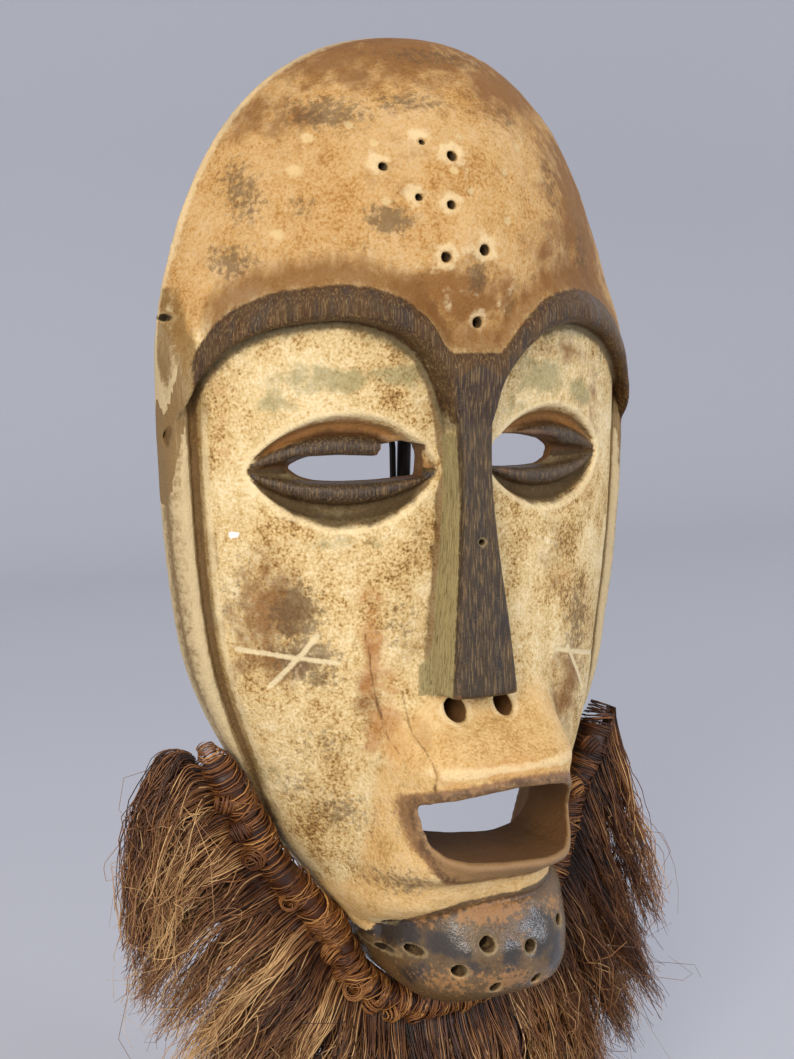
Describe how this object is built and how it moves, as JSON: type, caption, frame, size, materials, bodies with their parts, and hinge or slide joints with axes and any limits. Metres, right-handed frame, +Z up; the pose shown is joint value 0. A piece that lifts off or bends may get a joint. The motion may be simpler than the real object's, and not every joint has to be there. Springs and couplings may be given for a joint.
{
  "type": "carved wooden face mask with fibre beard",
  "caption": "Tall hollow carved wooden face mask, kaolin-rubbed with dark brows and nose, with a plant-fibre beard, held upright on a steel rod stand.",
  "frame": {"origin": "on the underside of the stand's foot, under the middle line of the mask and in the plane of its flat back rim", "axes": "+Z up the mask, the face looks toward -Y, +X toward the mask's own left side"},
  "size_m": [0.2408, 0.1508, 0.522],
  "materials": {
    "wood": "carved wood, rubbed with pale kaolin, brows, nose, lids and chin dark and handled smooth",
    "cord": "wrapped and knotted plant-fibre cord",
    "fibre": "loose combed plant fibre, reddish brown",
    "stand": "satin black paint on steel"
  },
  "bodies": {
    "root": {"mask": "wood", "beard_cord": "cord", "beard_fibre": "fibre", "stand_post": "stand", "stand_prong": "stand", "stand_foot": "stand"}
  },
  "joints": []
}
